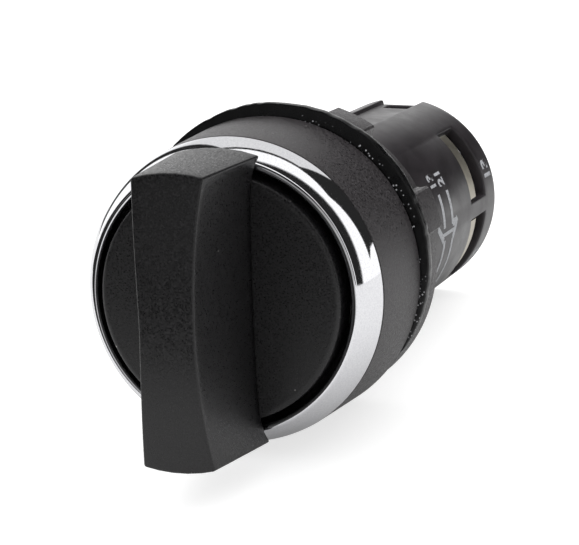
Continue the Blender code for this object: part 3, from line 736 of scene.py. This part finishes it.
def make_contact_housing(look):
    start, end = KEYWAY_CENTRE - KEYWAY_HALF, KEYWAY_CENTRE + KEYWAY_HALF
    latch = [KEYWAY_CENTRE - LATCH_HALF, KEYWAY_CENTRE + LATCH_HALF]
    edges = [start, *latch, end, KEYWAY_CENTRE + BODY_THICK_HALF]
    for angle in TERMINALS.values():
        edges += [angle - WINDOW_HALF, angle + WINDOW_HALF]
    edges += [360 + KEYWAY_CENTRE - BODY_THICK_HALF, start + 360]
    ys = [BODY_FRONT_Y, WINDOW_FRONT_Y, WINDOW_REAR_Y, LATCH_FRONT_Y, LATCH_REAR_Y, BODY_REAR_Y]

    def wall(angle, y):
        thick = away(angle, KEYWAY_CENTRE) < BODY_THICK_HALF
        bore = BODY_THICK_BORE_R if thick else BODY_BORE_R
        if WINDOW_FRONT_Y < y < WINDOW_REAR_Y:
            if any(away(angle, centre) < WINDOW_HALF for centre in TERMINALS.values()):
                return None
        if LATCH_FRONT_Y < y < LATCH_REAR_Y and away(angle, KEYWAY_CENTRE) < LATCH_HALF:
            return None
        return bore, KEYWAY_FLOOR_R if away(angle, KEYWAY_CENTRE) < KEYWAY_HALF else BODY_R

    housing = shell("rear_body", spread(edges, 2), ys, wall)
    for vert in housing.data.vertices:
        if abs(vert.co.xz.length - KEYWAY_FLOOR_R * MM) < 1e-7:
            flat = keyway_floor(math.degrees(math.atan2(vert.co.x, vert.co.z)))
            vert.co.xz *= flat / KEYWAY_FLOOR_R
    soften(housing, 0.2, 3)
    show(housing, "housing", "housing_black", look, "contact_housing")


def make_cover(look):
    def section(angle):
        edge = 8.2 if away(angle, KEYWAY_CENTRE) < 19 else COVER_R
        return rounded([(0, COVER_FRONT_Y), (edge, COVER_FRONT_Y), (edge, COVER_REAR_Y), (0, COVER_REAR_Y)])

    edges = [KEYWAY_CENTRE - 18.95, KEYWAY_CENTRE + 18.95, KEYWAY_CENTRE + 19.05, KEYWAY_CENTRE + 340.95]
    cover = lathe("cover", section, spread(edges, 2.5))
    holes = []
    for name, angle in TERMINALS.items():
        hole = [(0, COVER_FRONT_Y - 1), (ACCESS_HOLE_R, COVER_FRONT_Y - 1), (ACCESS_HOLE_R, COVER_REAR_Y + 1)]
        hole.append((0, COVER_REAR_Y + 1))
        holes.append(rod(f"hole_{name}", polar(SCREW_CIRCLE_R, angle, 0), hole, 56))
    carve(cover, holes)
    span = (LATCH_FRONT_Y + 0.3, LATCH_REAR_Y - 0.3)
    arm = sector("lug_arm", (7.2, 8.2), span, KEYWAY_CENTRE, LATCH_HALF, 8)
    lug = sector("lug", (7.2, KEYWAY_FLOOR_R - 0.4), span, KEYWAY_CENTRE, LATCH_HALF - 2, 6)
    carve(cover, [arm, lug], "UNION")
    soften(cover, 0.12, 2, 50)
    show(cover, "housing", "housing_black", look, "rear_cover")


def make_terminals(look_block, look_screw):
    for name, angle in TERMINALS.items():
        centre = polar(SCREW_CIRCLE_R, angle, 0)
        terminal = sector(f"block_{name}", (4.6, 10.7), (BLOCK_FRONT_Y, BLOCK_REAR_Y), angle, 21)
        front, rear = BLOCK_FRONT_Y - 1, BLOCK_REAR_Y + 1
        hole = [(0, front), (BLOCK_HOLE_R, front), (BLOCK_HOLE_R, rear), (0, rear)]
        carve(terminal, [rod(f"hole_{name}", centre, hole, 32)])
        strip = sector(f"strip_{name}", (8.7, 9.4), (23.5, BLOCK_FRONT_Y + 0.4), angle, 12, 8)
        carve(terminal, [strip], "UNION")
        soften(terminal, 0.28, 3, 50)
        show(terminal, "housing", "brass", look_block, f"terminal_{name}")
        outline = [
            (0, 32.0),
            (1.05, 32.0),
            (1.45, 32.5),
            (1.45, SCREW_HEAD_Y),
            (SCREW_HEAD_R, SCREW_HEAD_Y, 0.1),
            (SCREW_HEAD_R, SCREW_TOP_Y, 0.7),
            (0, SCREW_TOP_Y),
        ]
        screw = rod(f"screw_{name}", centre, rounded(outline, 5))
        x, z = centre.x / MM, centre.z / MM
        arms = []
        for half_x, half_z in ((1.45, 0.32), (0.32, 1.45)):
            low = (x - half_x, SCREW_TOP_Y - 0.9, z - half_z)
            high = (x + half_x, SCREW_TOP_Y + 1, z + half_z)
            arms.append(block(f"cross_{name}_{len(arms)}", low, high))
        carve(screw, arms)
        soften(screw, 0.06, 2, 50)
        show(screw, f"screw_{name}", "steel", look_screw, f"terminal_screw_{name}")


def make_return_spring(look):
    """Spring between the plunger and the rear cover."""
    low, high = ([value / MM for value in corner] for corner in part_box("return_spring"))
    coil_r = (high[0] - low[0]) / 2 - SPRING_WIRE_R
    start, end = low[1] + SPRING_WIRE_R, high[1] - SPRING_WIRE_R
    mesh = bmesh.new()
    rings = []
    count = SPRING_TURNS * SPRING_STEPS
    for step in range(count + 1):
        turn = 2 * math.pi * SPRING_TURNS * step / count
        out = Vector((math.cos(turn), 0, math.sin(turn)))
        middle = out * coil_r + Vector((0, start + (end - start) * step / count, 0))
        ring = []
        for side in range(WIRE_SIDES):
            angle = 2 * math.pi * side / WIRE_SIDES
            spoke = out * math.cos(angle) + Vector((0, math.sin(angle), 0))
            ring.append(mesh.verts.new((middle + spoke * SPRING_WIRE_R) * MM))
        rings.append(ring)
    for here, there in zip(rings, rings[1:]):
        for side in range(WIRE_SIDES):
            after = (side + 1) % WIRE_SIDES
            mesh.faces.new((here[side], here[after], there[after], there[side]))
    mesh.faces.new(list(reversed(rings[0])))
    mesh.faces.new(rings[-1])
    bmesh.ops.recalc_face_normals(mesh, faces=mesh.faces)
    spring = mesh_object("plunger_spring", mesh)
    show(spring, "plunger", "steel", look, "return_spring")
    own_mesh(spring)


# ---------------------------------------------------------------- printing


def on_body(along, y, height):
    """A point printed on the body. along runs round it, in millimetres from 12 o'clock."""
    return polar(BODY_R + height, math.degrees(along / BODY_R), y)


def line(mesh, start, end, width):
    """A printed line between two (angle, y) places."""
    a, b = (Vector((math.radians(angle) * BODY_R, y)) for angle, y in (start, end))
    side = (b - a).orthogonal().normalized() * width / 2
    steps = max(1, round((b - a).length / 0.4))
    rings = []
    for step in range(steps + 1):
        middle = a.lerp(b, step / steps)
        left, right = middle - side, middle + side
        spots = [(right, INK_GAP), (left, INK_GAP), (left, INK_HEIGHT), (right, INK_HEIGHT)]
        rings.append([mesh.verts.new(on_body(spot.x, spot.y, height)) for spot, height in spots])
    for here, there in zip(rings, rings[1:]):
        for index in range(4):
            mesh.faces.new((here[index], here[index - 1], there[index - 1], there[index]))
    mesh.faces.new(rings[0])
    mesh.faces.new(rings[-1])


def label(mesh, text, angle, y, height, squeeze):
    """Digits on the body, with their tops towards the lever."""
    curve = bpy.data.curves.new("digits", "FONT")
    curve.body = text
    curve.size = height / 0.72
    curve.align_x = "CENTER"
    curve.align_y = "CENTER"
    curve.offset = 0.05 * height
    curve.extrude = INK_HEIGHT / 2
    made = bpy.data.objects.new("digits", curve)
    bpy.context.scene.collection.objects.link(made)
    bpy.context.view_layer.update()
    data = bpy.data.meshes.new_from_object(made.evaluated_get(bpy.context.evaluated_depsgraph_get()))
    middle = math.radians(angle) * BODY_R
    for vert in data.vertices:
        across, up, out = vert.co
        vert.co = on_body(middle - across * squeeze, y - up, out + INK_HEIGHT / 2 + INK_GAP)
    mesh.from_mesh(data)
    bpy.data.objects.remove(made)
    bpy.data.meshes.remove(data)


def make_printing(look):
    """Contact diagram on the right side and a terminal number behind each window."""
    mesh = bmesh.new()
    label(mesh, "13", 62.9, 21.4, 1.9, 0.72)
    label(mesh, "21", 62.9, 24.3, 1.9, 0.72)
    label(mesh, "14", 138, 21.4, 1.9, 0.72)
    label(mesh, "22", 138, 24.3, 1.9, 0.72)
    wide = 0.78
    line(mesh, (71, 21.8), (90, 21.8), wide)
    line(mesh, (71, 25.0), (90, 25.0), wide)
    line(mesh, (89.5, 25.0), (89.5, 26.8), wide)
    line(mesh, (88, 19.2), (97, 21.5), wide)
    line(mesh, (97, 21.9), (130, 21.9), wide)
    line(mesh, (88, 26.9), (98, 25.2), wide)
    line(mesh, (98, 25.1), (130, 25.1), wide)
    line(mesh, (93.5, 20.9), (93.5, 25.9), wide * 0.5)
    for name, angle in TERMINALS.items():
        label(mesh, name, angle + 9, 41.7, 2.3, 0.8)
    made = mesh_object("contact_diagram", mesh)
    show(made, "housing", "silver", look)


# ---------------------------------------------------------------- stage


def finish_cad_nodes(looks):
    """Gives each CAD node that still shows the fine version of its material."""
    slots = {entry["node"]: entry["material_slot"] for entry in frame["record"]["subparts"]}
    for name, node in frame["nodes"].items():
        node.data.materials.clear()
        node.data.materials.append(looks[slots[name]])


def make_floor(look):
    """A pale sheet that touches the collar and the rear rim, and levels off behind the switch."""
    mesh = bmesh.new()
    low, high = -COLLAR_REAR_R - FLOOR_GAP, -BODY_R - FLOOR_GAP
    slope = (high - low) / (BODY_REAR_Y - COLLAR_REAR_Y)
    rows = []
    for y in spread([FLOOR_FRONT_Y, 60, 90, FLOOR_REAR_Y], 10):
        z = low + slope * (min(y, FLOOR_BEND_Y) - COLLAR_REAR_Y)
        rows.append([mesh.verts.new(Vector((x, y, z)) * MM) for x in (-FLOOR_HALF, FLOOR_HALF)])
    for here, there in zip(rows, rows[1:]):
        mesh.faces.new((here[0], here[1], there[1], there[0]))
    floor = mesh_object("floor", mesh)
    floor.data.shade_smooth()
    floor.data.materials.append(look)
    floor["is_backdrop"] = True


def make_softbox(name, centre, size, radiance, target=(0, 0, 0)):
    data = bpy.data.lights.new(name, "AREA")
    data.shape = "RECTANGLE"
    data.size, data.size_y = (side * MM for side in size)
    data.energy = radiance * math.pi * data.size * data.size_y
    lamp = bpy.data.objects.new(name, data)
    lamp.location = Vector(centre) * MM
    lamp.rotation_euler = (Vector(centre) - Vector(target)).to_track_quat("Z", "Y").to_euler()
    lamp.visible_glossy = False
    bpy.context.scene.collection.objects.link(lamp)


def make_world():
    """Soft patches of light by direction, which give the bright ring its reflections.

    A pale backdrop in a dark frame, white behind and above it, and dark towards the front. Matt
    surfaces are lit by a separate level, and the camera sees plain white.
    """
    world = bpy.data.worlds.new("studio")
    world.use_nodes = True
    bpy.context.scene.world = world
    tree = world.node_tree
    tree.nodes.clear()

    def node(kind, links, **settings):
        made = tree.nodes.new(kind)
        for key, value in settings.items():
            setattr(made, key, value)
        for key, value in links.items():
            if isinstance(value, bpy.types.NodeSocket):
                tree.links.new(value, made.inputs[key])
            else:
                made.inputs[key].default_value = value
        return made.outputs

    def calc(operation, first, second):
        return node("ShaderNodeMath", {0: first, 1: second}, operation=operation)[0]

    def past(value, edge, width=0.02):
        """1 where the value is past the edge, 0 before it."""
        links = {"Value": value, "From Min": edge - width, "From Max": edge + width}
        return node("ShaderNodeMapRange", links, interpolation_type="SMOOTHSTEP")["Result"]

    def before(value, edge, width=0.02):
        return calc("SUBTRACT", 1.0, past(value, edge, width))

    def both(*shares):
        product = shares[0]
        for share in shares[1:]:
            product = calc("MULTIPLY", product, share)
        return product

    def layer(under, share, value):
        return node("ShaderNodeMix", {0: share, 2: under, 3: value}, data_type="FLOAT")[0]

    direction = node("ShaderNodeTexCoord", {})["Generated"]
    x, y, z = node("ShaderNodeSeparateXYZ", {"Vector": direction})
    ahead = calc("MAXIMUM", y, 0.01)
    side, height = calc("DIVIDE", x, ahead), calc("DIVIDE", z, ahead)
    sky = layer(0.02, past(y, 0.225, 0.02), WHITE)
    frame_part = both(past(side, -1.0), before(side, 1.9), before(height, 2.15), past(y, 0.1))
    sky = layer(sky, frame_part, 0.022)
    right_edge = layer(-0.02, past(height, 0.85, 0.15), 0.65)
    inside_right = before(calc("SUBTRACT", side, right_edge), 0, 0.03)
    pale = both(past(side, -0.8), inside_right, before(height, 1.9), past(y, 0.1))
    sky = layer(sky, pale, layer(BACKDROP_LOW, past(height, 0.5, 0.3), BACKDROP))
    low_edge = calc("MINIMUM", calc("MULTIPLY", calc("SUBTRACT", y, 0.335), 0.9), 0.19)
    low = before(calc("SUBTRACT", z, low_edge), 0.0, 0.01)
    sky = layer(sky, both(low, past(side, 0.65), past(y, 0.3)), WHITE)
    front_left = both(before(y, -0.8, 0.08), before(x, 0.1, 0.1), past(z, -0.02, 0.06), before(z, 0.6, 0.1))
    sky = layer(sky, front_left, 0.3)
    front_right = both(before(y, -0.3, 0.15), past(x, 0.15, 0.1), before(z, 0.5, 0.1))
    sky = layer(sky, front_right, 0.45)
    sky = layer(sky, both(before(z, -0.05, 0.01), past(calc("ADD", x, y), -0.3, 0.2)), 0.9)
    path = node("ShaderNodeLightPath", {})
    left_front = both(before(x, -0.1, 0.5), before(y, 0.1, 0.4))
    sky = layer(sky, path["Is Diffuse Ray"], layer(DIFFUSE_SKY, left_front, DIFFUSE_FRONT))
    strength = layer(sky, path["Is Camera Ray"], SHOWN_WHITE)
    background = node("ShaderNodeBackground", {"Color": (1, 1, 1, 1), "Strength": strength})[0]
    node("ShaderNodeOutputWorld", {"Surface": background})


def make_camera():
    data = bpy.data.cameras.new("camera")
    data.lens = FOCAL_PIXELS / FRAME_WIDTH * SENSOR
    data.sensor_width = SENSOR
    data.clip_start = 0.01
    camera = bpy.data.objects.new("camera", data)
    right, up = Vector(CAMERA_RIGHT).normalized(), Vector(CAMERA_UP)
    back = right.cross(up).normalized()
    up = back.cross(right)
    turned = Matrix((right, up, back)).transposed().to_4x4()
    camera.matrix_world = Matrix.Translation(Vector(CAMERA_AT) * MM) @ turned
    bpy.context.scene.collection.objects.link(camera)
    bpy.context.scene.camera = camera


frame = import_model()
cad_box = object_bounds()

knob_look = knob_plastic()
collar_look = eroded_plastic("collar_plastic")
housing_look = housing_plastic()
rubber_look = rubber()
chrome_look = chrome()
steel_look = metal("zinc_steel", (0.5, 0.5, 0.52), (0.68, 0.68, 0.7), 0.28)
brass_look = metal("nickel_brass", (0.5, 0.47, 0.39), (0.66, 0.62, 0.53), 0.42)
copper_look = metal("copper_strip", (0.62, 0.34, 0.22), (0.76, 0.46, 0.32), 0.35)
silver_look = metal("silver_rivet", (0.74, 0.73, 0.7), (0.86, 0.85, 0.82), 0.25)
finish_cad_nodes(
    {
        "knob_black": knob_look,
        "collar_black": collar_look,
        "housing_black": housing_look,
        "inner_plastic": inner_plastic(),
        "rubber": rubber_look,
        "chrome": chrome_look,
        "steel": steel_look,
        "brass": brass_look,
        "copper": copper_look,
        "silver": silver_look,
    }
)
make_knob(knob_look)
make_bezel(chrome_look)
make_front_housing(collar_look)
make_gasket(rubber_look)
make_nut(eroded_plastic("nut_plastic"))
make_contact_housing(housing_look)
make_cover(housing_look)
make_terminals(brass_look, steel_look)
make_return_spring(steel_look)
make_printing(ink())

make_floor(floor_paper())
make_softbox("overhead", (0, 120, 420), (900, 420), 2.0, (0, 120, 0))
make_world()
make_camera()
bpy.context.scene.view_settings.view_transform = "Standard"

[[list(corner) for corner in box] for box in (cad_box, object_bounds())]
